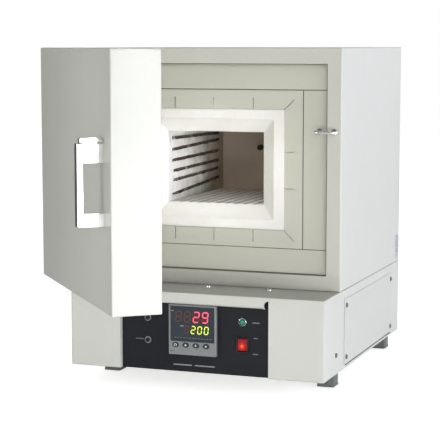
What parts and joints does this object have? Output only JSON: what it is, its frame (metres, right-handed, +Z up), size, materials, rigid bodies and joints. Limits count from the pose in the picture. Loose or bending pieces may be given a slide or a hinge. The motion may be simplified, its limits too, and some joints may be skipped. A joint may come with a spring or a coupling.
{
  "type": "muffle furnace",
  "caption": "Benchtop box muffle furnace: heated ceramic chamber behind a thick side-hinged door, on a control base with temperature controller, pilot lamp and rocker switch.",
  "frame": {"origin": "middle of the bottom of the box round the whole furnace as it stands, with its door open 50.6 degrees; the feet stand on Z = 0", "axes": "+Z up; the furnace's front and its chamber mouth face -Y; +X is to the right for someone facing the front; the door's hinges are on the -X side"},
  "size_m": [0.5872, 0.9452, 0.645],
  "materials": {
    "case_enamel": "satin",
    "cover_enamel": "satin",
    "plate_enamel": "satin",
    "panel_black": "matte",
    "throat_ceramic": "matte",
    "refractory": "matte",
    "fibre_wool": "matte",
    "heating_wire": "matte",
    "bright_steel": "polished",
    "zinc_steel": "satin",
    "meter_case": "satin",
    "meter_window": "gloss",
    "key_rubber": "matte",
    "green_lens": "gloss",
    "red_lens": "gloss",
    "black_moulding": "satin",
    "foot_moulding": "matte",
    "finned_aluminium": "satin",
    "probe_sheath": "matte"
  },
  "bodies": {
    "cabinet": {"base_housing": "case_enamel", "base_tray": "case_enamel", "base_back_panel": "case_enamel", "side_cover_left": "cover_enamel", "side_cover_right": "cover_enamel", "ledge_screw_left": "zinc_steel", "ledge_screw_middle": "zinc_steel", "ledge_screw_right": "zinc_steel", "foot_front_left": "foot_moulding", "foot_front_right": "foot_moulding", "foot_rear_left": "foot_moulding", "foot_rear_right": "foot_moulding", "control_panel": "panel_black", "controller_case": "meter_case", "controller_window": "meter_window", "pilot_lamp_body": "bright_steel", "pilot_lamp_lens": "green_lens", "rocker_frame": "black_moulding", "fuse_holder_upper": "zinc_steel", "fuse_holder_lower": "zinc_steel", "power_regulator": "finned_aluminium", "cable_gland": "black_moulding", "upper_shell": "case_enamel", "upper_back_panel": "case_enamel", "trim_strip_top": "plate_enamel", "trim_strip_bottom": "plate_enamel", "trim_strip_left": "plate_enamel", "trim_strip_right": "plate_enamel", "face_plate": "plate_enamel", "throat_collar": "throat_ceramic", "muffle_floor": "refractory", "muffle_roof": "refractory", "muffle_wall_left": "refractory", "muffle_wall_right": "refractory", "muffle_back_wall": "refractory", "hearth_plate": "refractory", "heating_coil_left": "heating_wire", "heating_coil_right": "heating_wire", "insulation_jacket": "fibre_wool", "terminal_board": "throat_ceramic", "thermocouple": "probe_sheath", "door_striker": "bright_steel", "hinge_leaf_cabinet_upper": "zinc_steel", "hinge_leaf_cabinet_lower": "zinc_steel", "hinge_pin_upper": "bright_steel", "hinge_pin_lower": "bright_steel"},
    "door": {"door_shell": "case_enamel", "door_inner_pan": "plate_enamel", "door_insulation": "fibre_wool", "door_plug": "throat_ceramic", "door_seal": "fibre_wool", "door_handle": "bright_steel", "door_catch": "zinc_steel", "hinge_leaf_door_upper": "zinc_steel", "hinge_leaf_door_lower": "zinc_steel"},
    "rocker_key": {"rocker_key": "red_lens"},
    "key_cycle": {"key_cycle": "key_rubber"},
    "key_shift": {"key_shift": "key_rubber"},
    "key_down": {"key_down": "key_rubber"},
    "key_up": {"key_up": "key_rubber"}
  },
  "joints": [
    {"name": "door_swing", "type": "hinge", "parent": "cabinet", "child": "door", "pos_m": [-0.23304, -0.00936, 0.42], "axis": [0, 0, -1], "range_deg": [-50.6, 79.4]},
    {"name": "rocker_tilt", "type": "hinge", "parent": "cabinet", "child": "rocker_key", "pos_m": [0.13046, -0.10186, 0.0933], "axis": [1, 0, 0], "range_deg": [0, 13]},
    {"name": "key_cycle_press", "type": "slide", "parent": "cabinet", "child": "key_cycle", "axis": [0, 1, 0], "range_m": [0, 0.001]},
    {"name": "key_shift_press", "type": "slide", "parent": "cabinet", "child": "key_shift", "axis": [0, 1, 0], "range_m": [0, 0.001]},
    {"name": "key_down_press", "type": "slide", "parent": "cabinet", "child": "key_down", "axis": [0, 1, 0], "range_m": [0, 0.001]},
    {"name": "key_up_press", "type": "slide", "parent": "cabinet", "child": "key_up", "axis": [0, 1, 0], "range_m": [0, 0.001]}
  ]
}
